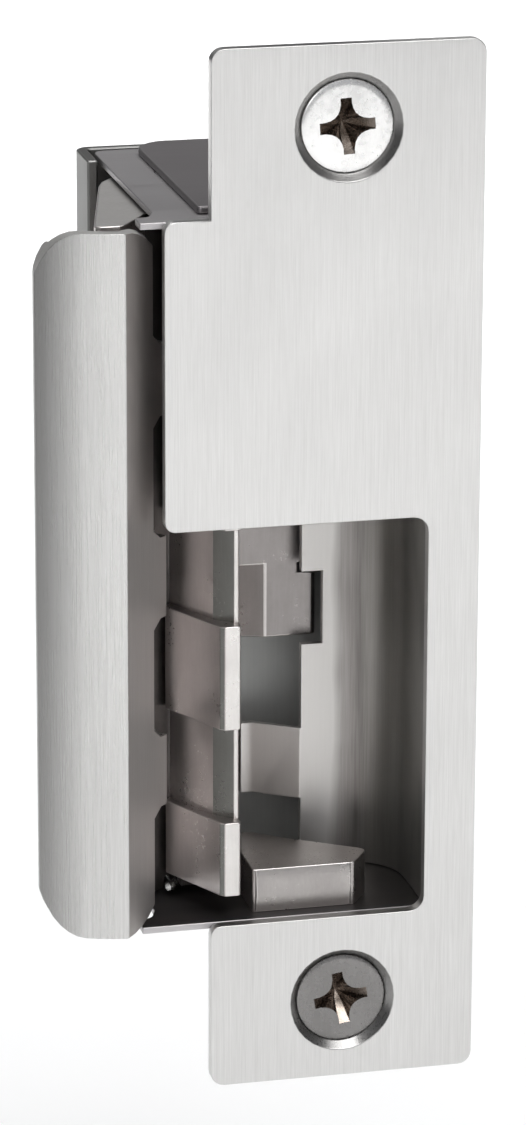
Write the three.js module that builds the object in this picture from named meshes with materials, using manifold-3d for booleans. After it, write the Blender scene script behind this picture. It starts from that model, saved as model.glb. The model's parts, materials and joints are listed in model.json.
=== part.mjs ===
// Electric door strike: faceplate, case, pocket, swinging keeper, lock lever and solenoid.
// Millimetres. +X right and +Z up as seen from the front, +Y into the door frame.
// The origin is midway between the two fixing screws, on the back plane of the faceplate.
// Everything behind the faceplate is built about the case's own middle height, z = 0 in its group.

import * as THREE from 'three';
import { mergeVertices } from 'three/addons/utils/BufferGeometryUtils.js';
import Module from 'manifold-3d';

const wasm = await Module();
wasm.setup();

// ---- driving dimensions -------------------------------------------------------------------

const PLATE = {
  thick: 1.5, halfWidth: 15.875, halfHeight: 61.9, corner: 1.6,
  wideLeft: -21.2, wideTop: 42.5, wideCorner: 1.2,
  openTop: 6.35, openBottom: -41.9, openRight: 9.8, openCorner: 1.8,
};
const FIXING = { z: 52.4, mouth: 6.3, hole: 2.9, head: 5.35, shank: 2.75, length: 15.9, sunk: 0.7 };
const CONE_SLOPE = Math.tan(THREE.MathUtils.degToRad(41)); // 82 degree countersink

const CASE_DROP = -0.2; // middle height of the case
const CASE = { outer: 42.45, sheet: 0.8, left: -21.2, right: 13.2, depth: 41.2 };
CASE.inner = CASE.outer - CASE.sheet;
const BACK = { thick: 1.3, left: -22.9, flangeStart: 33.2 };
const COVER = { thick: 0.9, wall: 1.0, left: -16.4, front: 3.0, rear: 38.5, gap: 0.1 };

const PIVOT = { x: -13.9, y: 25.2, pin: 2.5, bore: 2.56, hub: 6.3 };
const KEEPER = { half: 41.2, wallHalf: 39.2, innerFace: -11.7, springEnd: -33.2 };
const FINGER = { inner: 12.05, innerHalf: 6.3, outer: 34.3, outerHalf: 4.55 };
const LIP = { half: 41.9, sheet: 1.6, left: -35.4, ridgeX: -25.9, ridgeY: -2.4, tongueX: -19.95, tongueY: 3.65 };
const LIP_CURVE = { x: -24.31, y: 13.52, radius: 16.0, from: -98, to: -130 }; // its crowned front face
const FLANK = { x: -28.0, y: 4.6, slope: 0.2329 }; // left side of the keeper core

const LINER = { thick: 1.0, back: 16.0, wall: 10.2, curve: 6.5, bend: -1.0, edgeX: -6.0, edgeY: 19.25, top: 12.0 };
const WEDGE = { floor: -41.65, top: -36.3, front: 2.0, ridge: 0.5 };

const LEVER = { pivotX: -3.0, pivotZ: 9.0, front: 19.0, back: 23.0, pin: 1.5, bore: 1.56 };
const MECH = { front: 29.0, back: 30.2, left: -7.2, right: 12.35, lower: 24.3, joggle: -2.0 };
const COIL = { x: 4.5, y: 21.0, bottom: 13.4, top: 40.2, plate: 1.2, plunger: 4.0, bore: 4.3 };
const SIDE_SCREW = { y: 37.0, z: 30.0 };
const SIDE_RIVET = { y: 32.2, z: 24.0 };
const GUIDE_SCREW = { x: -2.5, y: 7.0 };
const LIP_SCREW = { y: 10.0, z: 22.0 };
const SOLENOID_SCREW = { x: COIL.x, z: [18.5, 35.5] };
const CONNECTOR = { x0: -1.0, x1: 9.0, z0: 24.0, z1: 30.5, front: 33.5, back: 41.8 };
CONNECTOR.pinX = [2.0, 6.0];
CONNECTOR.pinZ = (CONNECTOR.z0 + CONNECTOR.z1) / 2;

// ---- materials ----------------------------------------------------------------------------

function metal(color, roughness) {
  return new THREE.MeshStandardMaterial({ color, roughness, metalness: 1 });
}
const satinSteel = metal(0xd6d4d0, 0.35);
const millSteel = metal(0x98928d, 0.5);
const castSteel = metal(0x8f8783, 0.45);
const linerSteel = metal(0xbdb8b3, 0.3);
const zincSteel = metal(0xc9c7c2, 0.4);
const bronze = metal(0xa9824a, 0.45);
const copper = metal(0xb0643a, 0.4);
const springSteel = metal(0xb9b9b6, 0.3);
const plastic = new THREE.MeshStandardMaterial({ color: 0x2c2c2e, roughness: 0.6, metalness: 0 });

// ---- solids -------------------------------------------------------------------------------

function toSolid(geometry) {
  const bare = geometry.clone();
  bare.deleteAttribute('normal');
  bare.deleteAttribute('uv');
  const merged = mergeVertices(bare, 1e-4);
  return new wasm.Manifold(new wasm.Mesh({
    numProp: 3,
    vertProperties: new Float32Array(merged.attributes.position.array),
    triVerts: new Uint32Array(merged.index.array),
  }));
}

function toGeometry(solid) {
  const mesh = solid.getMesh();
  const geometry = new THREE.BufferGeometry();
  geometry.setAttribute('position', new THREE.BufferAttribute(mesh.vertProperties, 3));
  geometry.setIndex(new THREE.BufferAttribute(mesh.triVerts, 1));
  geometry.computeVertexNormals();
  return geometry;
}

const join = (first, ...rest) => rest.reduce((sum, part) => sum.add(part), first);
const cut = (body, ...tools) => tools.reduce((left, tool) => left.subtract(tool), body);

function box(x0, x1, y0, y1, z0, z1) {
  const geometry = new THREE.BoxGeometry(x1 - x0, y1 - y0, z1 - z0);
  return toSolid(geometry.translate((x0 + x1) / 2, (y0 + y1) / 2, (z0 + z1) / 2));
}

// A closed outline through [x, y, radius] corners; a corner with a radius is rounded by a true arc.
function outline(corners, curve = 5) {
  const points = [];
  corners.forEach((corner, i) => {
    const [x, y, radius = 0] = corner;
    if (!radius) {
      points.push(new THREE.Vector2(x, y));
      return;
    }
    const here = new THREE.Vector2(x, y);
    const before = corners[(i + corners.length - 1) % corners.length];
    const after = corners[(i + 1) % corners.length];
    const a = new THREE.Vector2(before[0], before[1]).sub(here).normalize();
    const b = new THREE.Vector2(after[0], after[1]).sub(here).normalize();
    const half = Math.acos(THREE.MathUtils.clamp(a.dot(b), -1, 1)) / 2;
    const centre = here.clone().add(a.clone().add(b).normalize().multiplyScalar(radius / Math.sin(half)));
    const start = here.clone().add(a.multiplyScalar(radius / Math.tan(half))).sub(centre);
    const end = here.clone().add(b.multiplyScalar(radius / Math.tan(half))).sub(centre);
    const sweep = Math.atan2(start.cross(end), start.dot(end));
    for (let k = 0; k <= curve; k += 1) {
      points.push(start.clone().rotateAround(new THREE.Vector2(), (sweep * k) / curve).add(centre));
    }
  });
  return points;
}

// Points on an arc, angles in degrees.
function arc(x, y, radius, from, to, steps) {
  return Array.from({ length: steps + 1 }, (_, k) => {
    const angle = THREE.MathUtils.degToRad(from + ((to - from) * k) / steps);
    return [x + radius * Math.cos(angle), y + radius * Math.sin(angle)];
  });
}

// Plan outline (x, y) raised from z0 to z1.
function prism(corners, z0, z1, curve) {
  const shape = new THREE.Shape(outline(corners, curve));
  const geometry = new THREE.ExtrudeGeometry(shape, { depth: z1 - z0, bevelEnabled: false });
  return toSolid(geometry.translate(0, 0, z0));
}

// Front outline (x, z) pushed from y0 to y1.
function slab(corners, y0, y1, curve) {
  const shape = new THREE.Shape(outline(corners, curve));
  const geometry = new THREE.ExtrudeGeometry(shape, { depth: y1 - y0, bevelEnabled: false });
  return toSolid(geometry.rotateX(Math.PI / 2).translate(0, y1, 0));
}

// Side outline (y, z) pushed from x0 to x1.
function bar(corners, x0, x1) {
  const geometry = new THREE.ExtrudeGeometry(new THREE.Shape(outline(corners)),
    { depth: x1 - x0, bevelEnabled: false });
  return toSolid(geometry.rotateX(Math.PI / 2).rotateZ(Math.PI / 2).translate(x0, 0, 0));
}

// Solid of revolution from [radius, height] points that start and end on the axis, along +Z.
function turned(profile, segments = 24) {
  const points = profile.map(([r, z]) => new THREE.Vector2(r, z));
  return new THREE.LatheGeometry(points, segments).rotateX(Math.PI / 2);
}

const AXIS_TURN = {
  x: (geometry) => geometry.rotateY(Math.PI / 2),
  y: (geometry) => geometry.rotateX(-Math.PI / 2),
  z: (geometry) => geometry,
};

// A turned solid whose axis runs along x, y or z from the given point.
function spun(axis, profile, x, y, z, segments) {
  return toSolid(AXIS_TURN[axis](turned(profile, segments)).translate(x, y, z));
}

function rod(axis, radius, length, x, y, z, segments = 24) {
  return spun(axis, [[0, 0], [radius, 0], [radius, length], [0, length]], x, y, z, segments);
}

function wire(points, radius, steps, sides) {
  const path = new THREE.CatmullRomCurve3(points.map((p) => new THREE.Vector3(...p)));
  const section = new THREE.Shape(arc(0, 0, radius, 0, 360 - 360 / sides, sides - 1)
    .map(([x, y]) => new THREE.Vector2(x, y)));
  return toSolid(new THREE.ExtrudeGeometry(section, { steps, bevelEnabled: false, extrudePath: path }));
}

const object = new THREE.Group();
const strike = new THREE.Group(); // everything behind the faceplate
strike.position.z = CASE_DROP;
object.add(strike);

function place(name, solid, material, group = strike) {
  const mesh = new THREE.Mesh(toGeometry(solid), material);
  mesh.name = name;
  group.add(mesh);
}

// ---- faceplate and its fixing screws ------------------------------------------------------

function countersink(z) {
  const deep = (FIXING.mouth - FIXING.hole) / CONE_SLOPE;
  const over = 0.2;
  return spun('y', [[0, -over], [FIXING.mouth + over * CONE_SLOPE, -over], [FIXING.hole, deep],
    [FIXING.hole, deep + 3], [0, deep + 3]], 0, -PLATE.thick, z, 32);
}

function dimple(z) {
  return spun('y', [[0, -0.4], [6.7, -0.4], [6.5, 0], [4.4, 2.4], [0, 2.4]], 0, 0, z, 32);
}

function faceplate() {
  const { halfWidth: w, halfHeight: h, corner: r, wideCorner: q } = PLATE;
  const sheet = slab([
    [-w, -h, r], [w, -h, r], [w, h, r], [-w, h, r], [-w, PLATE.wideTop],
    [PLATE.wideLeft, PLATE.wideTop, q], [PLATE.wideLeft, PLATE.openTop, q],
    [PLATE.openRight, PLATE.openTop, PLATE.openCorner],
    [PLATE.openRight, PLATE.openBottom, PLATE.openCorner], [-w, PLATE.openBottom, q],
  ], -PLATE.thick, 0);
  const formed = join(sheet, dimple(FIXING.z), dimple(-FIXING.z));
  return cut(formed, countersink(FIXING.z), countersink(-FIXING.z));
}

function phillips(top, turn) {
  const blade = (across, width) => box(-across, across, top - 1, top + 2.4, -width, width);
  const point = spun('y', [[0, -1], [1.9, -1], [1.5, 0], [0.5, 3.2], [0, 3.2]], 0, top, 0, 16);
  const cross = join(blade(2.9, 0.62), blade(0.62, 2.9), point);
  return cross.rotate([0, turn, 0]);
}

function fixingScrew(z, turn) {
  const { head, shank, length, sunk } = FIXING;
  const top = -PLATE.thick + sunk;
  const cone = (head - shank) / CONE_SLOPE;
  const profile = [[0, 0], [head - 0.25, 0], [head, 0.2], [shank, cone + 0.2]];
  const pitch = 1.06;
  for (let y = cone + 1.6; y < length - 1.4; y += pitch) {
    profile.push([shank, y], [shank - 0.45, y + pitch / 2]);
  }
  profile.push([shank, length - 0.9], [shank - 0.7, length], [0, length]);
  return cut(spun('y', profile, 0, top, 0, 20), phillips(top, turn)).translate([0, 0, z]);
}

place('faceplate', faceplate(), satinSteel, object);
place('faceplate_screw_upper', fixingScrew(FIXING.z, 10), zincSteel, object);
place('faceplate_screw_lower', fixingScrew(-FIXING.z, 4), zincSteel, object);

// ---- case ---------------------------------------------------------------------------------

function caseWall(z0) {
  const rear = COVER.rear + 0.1;
  return prism([
    [-23.7, 0], [CASE.right, 0], [CASE.right, rear], [CASE.left, rear, 1.5],
    [CASE.left, 5.4], [-22.0, 3.0, 1.2], [-23.7, 3.0, 0.6],
  ], z0, z0 + CASE.sheet);
}

function caseFrame() {
  const { inner, outer, sheet, right, depth } = CASE;
  const earTop = 45.4;
  const ear = slab([[-11, outer - sheet], [11, outer - sheet], [11, earTop, 1.5], [-11, earTop, 1.5]],
    0, sheet);
  const web = box(right - sheet, right, 0, depth, -outer, outer);
  const frame = join(caseWall(inner), caseWall(-outer), web, ear, ear.mirror([0, 0, 1]));
  const pinHole = rod('z', PIVOT.pin + 0.05, 2 * outer + 2, PIVOT.x, PIVOT.y, -outer - 1, 32);
  return cut(frame, pinHole, ...sideHoles(), guideHole(1.7));
}

function caseCover() {
  const { outer, right, depth } = CASE;
  const flange = (z0) => prism([
    [COVER.left, COVER.front, 0.5], [right + COVER.gap + COVER.wall, COVER.front],
    [right + COVER.gap + COVER.wall, COVER.rear], [COVER.left, COVER.rear, 4],
  ], z0, z0 + COVER.thick);
  const wall = box(right + COVER.gap, right + COVER.gap + COVER.wall, 0.6, depth,
    -outer - COVER.thick, outer + COVER.thick);
  const shell = join(flange(outer), flange(-outer - COVER.thick), wall);
  return cut(shell, ...sideHoles(), guideHole(3.1));
}

function caseBack() {
  const { left, thick, flangeStart } = BACK;
  const { depth } = CASE;
  const right = CASE.right - CASE.sheet;
  const foldR = 1.6;
  const pan = prism([
    [left, flangeStart, 0.3], [left + thick, flangeStart, 0.3], [left + thick, depth - thick, 0.5],
    [right - 1, depth - thick, 0.4], [right - 1, 34.8], [right, 34.8], [right, depth],
    [left, depth, foldR],
  ], -CASE.outer, CASE.outer);
  const socket = box(CONNECTOR.x0 - 0.1, CONNECTOR.x1 + 0.1, depth - 3, depth + 1,
    CONNECTOR.z0 - 0.1, CONNECTOR.z1 + 0.1);
  const flangeEnds = [1, -1].map((side) => box(right - 1.1, right + 0.1, 34, depth - thick,
    side > 0 ? CASE.inner - 0.1 : -CASE.outer - 1, side > 0 ? CASE.outer + 1 : 0.1 - CASE.inner));
  return cut(pan, socket, ...flangeEnds, ...sideHoles());
}

function sideHoles() {
  const hole = (radius, y, z) => rod('x', radius, 5, CASE.right - 2.5, y, z, 16);
  return [1, -1].flatMap((side) => [
    hole(1.4, SIDE_SCREW.y, side * SIDE_SCREW.z),
    hole(1.3, SIDE_RIVET.y, side * SIDE_RIVET.z),
  ]);
}

function guideHole(radius) {
  return rod('z', radius, 3, GUIDE_SCREW.x, GUIDE_SCREW.y, -CASE.outer - 2, 20);
}

function sideScrew(side) {
  const face = CASE.right + COVER.gap + COVER.wall;
  const screw = spun('x', [[0, -3.4], [1.25, -3.4], [1.25, 0], [2.3, 0], [2.2, 0.8], [1.5, 1.3], [0, 1.3]],
    face, 0, 0, 20);
  const slot = box(face + 0.6, face + 2, -2.4, 2.4, -0.35, 0.35);
  return cut(screw, slot).translate([0, SIDE_SCREW.y, side * SIDE_SCREW.z]);
}

function sideRivet(side) {
  const face = CASE.right + COVER.gap + COVER.wall;
  return spun('x', [[0, -3.8], [1.7, -3.8], [1.7, -2.95], [1.2, -2.95], [1.2, 0], [1.9, 0], [1.6, 0.6],
    [0.8, 0.9], [0, 0.9]], face, SIDE_RIVET.y, side * SIDE_RIVET.z, 20);
}


place('case_frame', caseFrame(), millSteel);
place('case_cover', caseCover(), millSteel);
place('case_back', caseBack(), millSteel);
place('side_screw_upper', sideScrew(1), zincSteel);
place('side_screw_lower', sideScrew(-1), zincSteel);
place('side_rivet_upper', sideRivet(1), zincSteel);
place('side_rivet_lower', sideRivet(-1), zincSteel);

// ---- pocket: liner and latch guide block ---------------------------------------------------

function linerProfile() {
  const { thick: t, back, wall, curve, bend, edgeX, edgeY } = LINER;
  return [
    [wall, 0.1], [wall + 2.1, 0.1], [wall + 2.1, 0.1 + t], [wall + t, 0.1 + t, 0.2],
    [wall + t, back + t, curve + t], [bend - 0.3, back + t], [edgeX + 0.1, edgeY + t], [edgeX - 1.5, edgeY + t],
    [edgeX - 1.5, edgeY], [edgeX, edgeY], [bend, back], [wall, back, curve],
  ];
}

function pocketLiner() {
  const floor = -CASE.inner + 0.1;
  const shell = prism(linerProfile(), floor, LINER.top, 10);
  const upperWindow = box(-12, -0.9, 12, 24, -24.1, 30);
  const windowStep = box(-2, 1.7, 12, 24, -13.6, -4.6);
  const lowerWindow = box(-12, -0.9, 12, 24, -38.9, -33.0);
  const corner = box(-12, -0.9, 12, 24, -33.5, -30).intersect(box(-9, -4.9, 12, 24, -33.5, -32.9));
  return cut(shell, upperWindow, windowStep, lowerWindow, corner);
}

function latchGuideBlock() {
  const { floor, top, front, ridge } = WEDGE;
  const middle = (floor + top) / 2;
  const body = prism([
    [-10.1, front, 0.3], [2.2, front, 0.5], [4.9, 6.0, 1.2], [-3.9, 12.0], [-7.4, 15.0], [-10.1, 15.0],
  ], floor, top);
  const nose = bar([
    [front + 0.2, floor], [front + 0.2, top], [front, top], [front - ridge, middle], [front, floor],
  ], -9.7, 1.7);
  const thread = rod('z', 1.3, 4.4, GUIDE_SCREW.x, GUIDE_SCREW.y, floor - 0.2, 20);
  return cut(join(body, nose), thread);
}

function guideBlockScrew() {
  const under = -CASE.outer;
  return spun('z', [[0, -1.1], [1.5, -1.1], [2.7, -0.5], [2.7, 0], [1.2, 0], [1.2, 4.4], [0, 4.4]],
    GUIDE_SCREW.x, GUIDE_SCREW.y, under, 20);
}

place('pocket_liner', pocketLiner(), linerSteel);
place('latch_guide_block', latchGuideBlock(), castSteel);
place('guide_block_screw', guideBlockScrew(), zincSteel);

// ---- keeper: core, lip, screws, bushes, pin and spring ---------------------------------------

function keeperArm() {
  const { x, y, hub } = PIVOT;
  const reach = KEEPER.innerFace - x;
  const meet = -Math.acos(reach / hub) * (180 / Math.PI);
  return prism([
    [FLANK.x, FLANK.y, 0.8], [-24.6, 4.6, 1.2], [-21.0, 9.9, 1.0], [-18.2, 11.2],
    [KEEPER.innerFace, 11.2], ...arc(x, y, hub, meet, 90, 16),
    [-21.75, y + hub, 8.0],
  ], -KEEPER.half, KEEPER.half);
}

function retentionWall() {
  return prism([
    [KEEPER.innerFace, 11.8], [-18.2, 11.8], [-17.75, 10.7], [-14.4, 3.9], [-12.3, 2.0, 0.3],
    [KEEPER.innerFace, 2.0, 0.3],
  ], -KEEPER.wallHalf, KEEPER.wallHalf);
}

function finger(z, half) {
  return prism([
    [-11.8, 11.2], [-18.0, 11.2], [-18.75, 10.1, 0.3], [-14.25, 1.0, 0.5], [-13.7, 0.5, 0.3],
    [-11.8, 0.5, 0.4],
  ], z - half, z + half, 3);
}

function keeperCore() {
  const { x, y } = PIVOT;
  const fingers = [1, -1].flatMap((side) => [
    finger(side * FINGER.inner, FINGER.innerHalf), finger(side * FINGER.outer, FINGER.outerHalf),
  ]);
  const full = 2 * KEEPER.half + 2;
  const bore = rod('z', 3.55, full, x, y, -KEEPER.half - 1, 32);
  const counterbore = rod('z', 4.7, 2, x, y, KEEPER.half - 0.8, 32);
  const springRoom = box(-24, -7, 18.4, 33, -KEEPER.half - 1, KEEPER.springEnd);
  const legSlot = box(-18.7, -16.7, 9, 19, -KEEPER.half - 1, -39.7);
  const pocket = box(-22.0, -15.4, 13.2, 18.0, -32, KEEPER.half - 8);
  const pocketMouth = box(-22.0, -15.4, 13.2, 18.0, -KEEPER.half - 1, -31.9);
  const lockNotch = box(-9.9, -6.9, 19.4, 23.4, -14.2, -5.0);
  const core = join(keeperArm(), retentionWall(), ...fingers);
  const lipHoles = [1, -1].map((side) => onFlank(rod('x', 1.4, 5.4, 0, 0, side * LIP_SCREW.z, 16), 0.3));
  return cut(core, bore, counterbore, springRoom, legSlot, pocket, pocketMouth, lockNotch, ...lipHoles);
}

// Moves a solid built along +X from the origin onto the keeper's left flank, pointing inwards.
function onFlank(solid, out) {
  const turn = -THREE.MathUtils.radToDeg(Math.atan(FLANK.slope));
  const y = LIP_SCREW.y;
  const x = FLANK.x + (y - FLANK.y) * FLANK.slope;
  return solid.translate([-out, 0, 0]).rotate([0, 0, turn]).translate([x, y, 0]);
}

// What is left over outside a quarter ellipse, as a cutter for one end corner of the lip.
function endCorner(x, rx, rz, side, y0, y1) {
  const top = LIP.half + 1;
  const curve = arc(0, 0, 1, 90, 0, 8).map(([u, v]) => [x + rx * u, LIP.half - rz + rz * v]);
  const out = Math.sign(rx);
  const corners = [[x, top], ...curve, [x + rx, top - rz - 1], [x + rx + 4 * out, top - rz - 1],
    [x + rx + 4 * out, top]];
  const cutter = slab(corners, y0, y1);
  return side > 0 ? cutter : cutter.mirror([0, 0, 1]);
}

function keeperLip() {
  const { half, sheet: t, left, ridgeX, ridgeY, tongueX, tongueY } = LIP;
  const { x, y, radius, from, to } = LIP_CURVE;
  const plate = prism([
    [tongueX, tongueY], [ridgeX, ridgeY, 0.6], ...arc(x, y, radius, from, to, 9),
    [left, 2.5, 0.8], [left + 0.1, 3.9, 0.5], [left + 1.6, 3.9, 0.5], [left + 1.75, 2.95, 0.4],
    ...arc(x, y, radius - t, to, from, 6), [tongueX - 1.13, tongueY + 1.12, 0.3],
  ], -half, half, 6);
  const legAt = (y, out) => FLANK.x + (y - FLANK.y) * FLANK.slope - out;
  const leg = prism([
    [legAt(0.2, 2.1), 0.2], [legAt(0.2, 0.1), 0.2], [legAt(15, 0.1), 15, 0.4], [legAt(15, 2.1), 15, 0.8],
  ], -36, 36);
  const corners = [1, -1].flatMap((side) => [
    endCorner(-30.6, -5.0, 7.6, side, -5, 6), endCorner(ridgeX, 5.6, 8.0, side, -5, 6),
  ]);
  const notches = [1, -1].flatMap((side) => [
    notch(side * FINGER.inner, FINGER.innerHalf), notch(side * (FINGER.outer + 6), 11.6),
  ]);
  const holes = [1, -1].map((side) => onFlank(rod('x', 1.5, 4, 0, 0, side * LIP_SCREW.z, 16), 3.2));
  return cut(join(plate, leg), ...corners, ...notches, ...holes);
}

function notch(z, half) {
  const floor = -21.85;
  return slab([
    [floor, z - half + 0.2], [floor, z + half - 0.2], [floor + 1.0, z + half + 0.9], [-18.0, z + half + 0.9],
    [-18.0, z - half - 0.9], [floor + 1.0, z - half - 0.9],
  ], -1, 6.5);
}

function lipScrew(side) {
  const screw = spun('x', [[0, -1.3], [1.6, -1.3], [2.3, -0.8], [2.4, 0], [1.25, 0], [1.25, 6.4], [0, 6.4]],
    0, 0, 0, 20);
  const hex = spun('x', [[0, -1.5], [1.1, -1.5], [1.1, -0.5], [0, -0.5]], 0, 0, 0, 6);
  return onFlank(cut(screw, hex).translate([0, 0, side * LIP_SCREW.z]), 2.05);
}

function keeperBush(z0, z1, flangeZ0, flangeZ1) {
  const { x, y, bore } = PIVOT;
  const sleeve = rod('z', 3.5, z1 - z0, x, y, z0, 32);
  const flange = rod('z', 4.5, flangeZ1 - flangeZ0, x, y, flangeZ0, 32);
  return cut(join(sleeve, flange), rod('z', bore, 20, x, y, z0 - 5, 32));
}

// Torsion spring round the pin: a leg that rests on the case back, the coil, and a leg on the keeper.
function keeperSpring() {
  const { x, y } = PIVOT;
  const radius = 3.7;
  const turns = 4.5;
  const top = -34.7;
  const bottom = -40.4;
  const fixedLeg = [[x + radius, y + 13.6, top], [x + radius, y + 7, top], [x + radius, y + 2, top]];
  const count = Math.round(turns * 12);
  const coil = Array.from({ length: count + 1 }, (_, k) => {
    const angle = -(k / 12) * 2 * Math.PI;
    return [x + radius * Math.cos(angle), y + radius * Math.sin(angle), top + ((bottom - top) * k) / count];
  });
  const movingLeg = [[x - radius, y - 2.5, bottom], [x - radius, y - 8, bottom],
    [x - radius - 0.1, y - 14.6, bottom], [x - radius - 1.0, y - 15.8, bottom]];
  return wire([...fixedLeg, ...coil, ...movingLeg], 0.5, 118, 6);
}

place('keeper_core', keeperCore(), castSteel);
place('keeper_lip', keeperLip(), satinSteel);
place('lip_screw_upper', lipScrew(1), zincSteel);
place('lip_screw_lower', lipScrew(-1), zincSteel);
place('keeper_bush_upper', keeperBush(34, 41.3, 40.5, 41.4), bronze);
place('keeper_bush_lower', keeperBush(-33.9, -27, -33.9, -33.3), bronze);
place('keeper_pivot_pin', rod('z', PIVOT.pin, 2 * CASE.outer - 0.02, PIVOT.x, PIVOT.y, -CASE.outer + 0.01, 32),
  zincSteel);
place('keeper_spring', keeperSpring(), springSteel);

// ---- lock lever, its pin and the plate that carries it ---------------------------------------

function lockLever() {
  const { pivotX: px, pivotZ: pz, front, back, bore } = LEVER;
  const shoulder = -4.3;
  const stem = slab([
    [-7.0, shoulder], [-0.3, shoulder], [-0.3, pz + 3.4, 2.5], [px - 3.5, pz + 3.4, 2.8], [-7.0, pz - 1],
  ], front, back);
  const wing = box(-9.0, -6.9, front, front + 1.2, shoulder, 5.0);
  const toe = (right, top) => prism([
    [-9.0, 20.6], [-4.6, front], [right, front, 0.6], [right, back, 0.6], [-7.2, back],
  ], -13.4, top);
  const forkY = [17.8, 24.2];
  const arm = box(px, 8.2, forkY[0], forkY[1], pz - 1.2, pz + 1.2);
  const hub = rod('y', 3.2, back - front, px, front, pz, 24);
  const slot = box(COIL.x - 2.2, 9, COIL.y - 2, COIL.y + 2, pz - 3, pz + 3);
  const pinBore = rod('y', bore, 12, px, front - 3, pz, 32);
  return cut(join(stem, wing, toe(-0.3, shoulder), toe(1.6, -5.6), arm, hub), slot, pinBore);
}

function leverPin() {
  const { pivotX, pivotZ, pin } = LEVER;
  const front = 16.7;
  const length = MECH.back + 0.6 - front;
  return spun('y', [[0, 0], [1.7, 0], [2.0, 0.3], [2.0, 0.9], [pin, 0.9], [pin, length], [0, length]],
    pivotX, front, pivotZ, 32);
}

function leverSpacer() {
  const { pivotX, pivotZ, bore } = LEVER;
  const length = MECH.front - 0.05 - 24.4;
  return cut(rod('y', 2.6, length, pivotX, 24.4, pivotZ, 24),
    rod('y', bore, length + 2, pivotX, 23.4, pivotZ, 32));
}

function mechanismPlate() {
  const { front, back, left, right, lower, joggle } = MECH;
  const half = CASE.inner - 0.25;
  const thick = back - front;
  const sheet = bar([
    [front, half], [front, joggle + thick, 0.8], [lower, joggle + thick, 1.0], [lower, -half],
    [lower + thick, -half], [lower + thick, joggle], [back, joggle, 1.0], [back, half],
  ], left, right);
  const flange = box(right - 1, right, front, 34.3, -half, half);
  const flangeFoot = box(right - 1, right, lower + 0.4, front + 0.5, -half, joggle);
  const pinHole = rod('y', LEVER.pin + 0.05, 4, LEVER.pivotX, front - 1, LEVER.pivotZ, 32);
  const screwHoles = SOLENOID_SCREW.z.map((z) => rod('y', 1.1, 4, SOLENOID_SCREW.x, front - 1, z, 16));
  return cut(join(sheet, flange, flangeFoot), pinHole, ...screwHoles, ...sideHoles());
}

place('mechanism_plate', mechanismPlate(), millSteel);
place('lock_lever', lockLever(), castSteel);
place('lock_lever_pin', leverPin(), zincSteel);
place('lever_spacer', leverSpacer(), bronze);

// ---- solenoid -------------------------------------------------------------------------------

function solenoidFrame() {
  const { x, y, bottom, top, plate, plunger } = COIL;
  const front = 13.6;
  const web = MECH.front - 1;
  const yoke = bar([
    [front, bottom], [MECH.front, bottom], [MECH.front, top], [front, top], [front, top - plate],
    [web, top - plate], [web, bottom + plate], [front, bottom + plate],
  ], -3.5, 12.0);
  const taps = SOLENOID_SCREW.z.map((z) => rod('y', 1.1, 3, x, MECH.front - 2, z, 16));
  return cut(yoke, rod('z', plunger + 0.3, 4, x, y, bottom - 1, 32),
    rod('z', 2.5, 4, x, y, top - 2, 24), ...taps);
}

function solenoidBobbin() {
  const { x, y, bottom, top, plate, bore } = COIL;
  const z0 = bottom + plate + 0.1;
  const z1 = top - plate - 0.1;
  const spool = join(rod('z', 5.0, z1 - z0, x, y, z0, 32), rod('z', 6.8, 1, x, y, z0, 32),
    rod('z', 6.8, 1, x, y, z1 - 1, 32));
  return cut(spool, rod('z', bore, z1 - z0 + 2, x, y, z0 - 1, 32));
}

function solenoidCoil() {
  const { x, y, bottom, top, plate } = COIL;
  const z0 = bottom + plate + 1.3;
  const z1 = top - plate - 1.3;
  return cut(rod('z', 6.5, z1 - z0, x, y, z0, 32), rod('z', 5.15, z1 - z0 + 2, x, y, z0 - 1, 32));
}

function solenoidPole() {
  const { x, y, top, plate, plunger } = COIL;
  return spun('z', [[0, 0], [plunger, 0], [plunger, 8.15], [2.4, 8.15], [2.4, 9.9], [0, 9.9]],
    x, y, top - plate - 8.2, 32);
}

function solenoidPlunger() {
  const { x, y, plunger } = COIL;
  const spring = 2.2;
  return spun('z', [[0, 5.0], [2.8, 5.0], [2.8, 6.8], [1.6, 6.8], [1.6, 11.2], [plunger, 11.6],
    [plunger, 28.9], [spring, 28.9], [spring, 21.0], [0, 21.0]], x, y, 0, 32);
}

function plungerSpring() {
  const { x, y, top, plate } = COIL;
  const from = 21.3;
  const to = top - plate - 8.5;
  const turns = 7;
  const points = Array.from({ length: turns * 8 + 1 }, (_, k) => {
    const angle = (k / 8) * 2 * Math.PI;
    return [x + 1.6 * Math.cos(angle), y + 1.6 * Math.sin(angle), from + ((to - from) * k) / (turns * 8)];
  });
  return wire(points, 0.25, turns * 12, 5);
}

function solenoidScrew(z) {
  const screw = spun('y', [[0, 0], [1.0, 0], [1.0, 2.0], [2.0, 2.0], [1.9, 2.9], [1.2, 3.3], [0, 3.3]],
    COIL.x, MECH.back - 2.0, z, 20);
  return cut(screw, box(COIL.x - 2.2, COIL.x + 2.2, MECH.back + 0.7, MECH.back + 2, z - 0.3, z + 0.3));
}

place('solenoid_frame', solenoidFrame(), zincSteel);
place('solenoid_bobbin', solenoidBobbin(), plastic);
place('solenoid_coil', solenoidCoil(), copper);
place('solenoid_pole', solenoidPole(), zincSteel);
place('solenoid_plunger', solenoidPlunger(), zincSteel);
place('plunger_spring', plungerSpring(), springSteel);
place('solenoid_screw_lower', solenoidScrew(SOLENOID_SCREW.z[0]), zincSteel);
place('solenoid_screw_upper', solenoidScrew(SOLENOID_SCREW.z[1]), zincSteel);

// ---- wiring connector in the case back ---------------------------------------------------------

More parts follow.
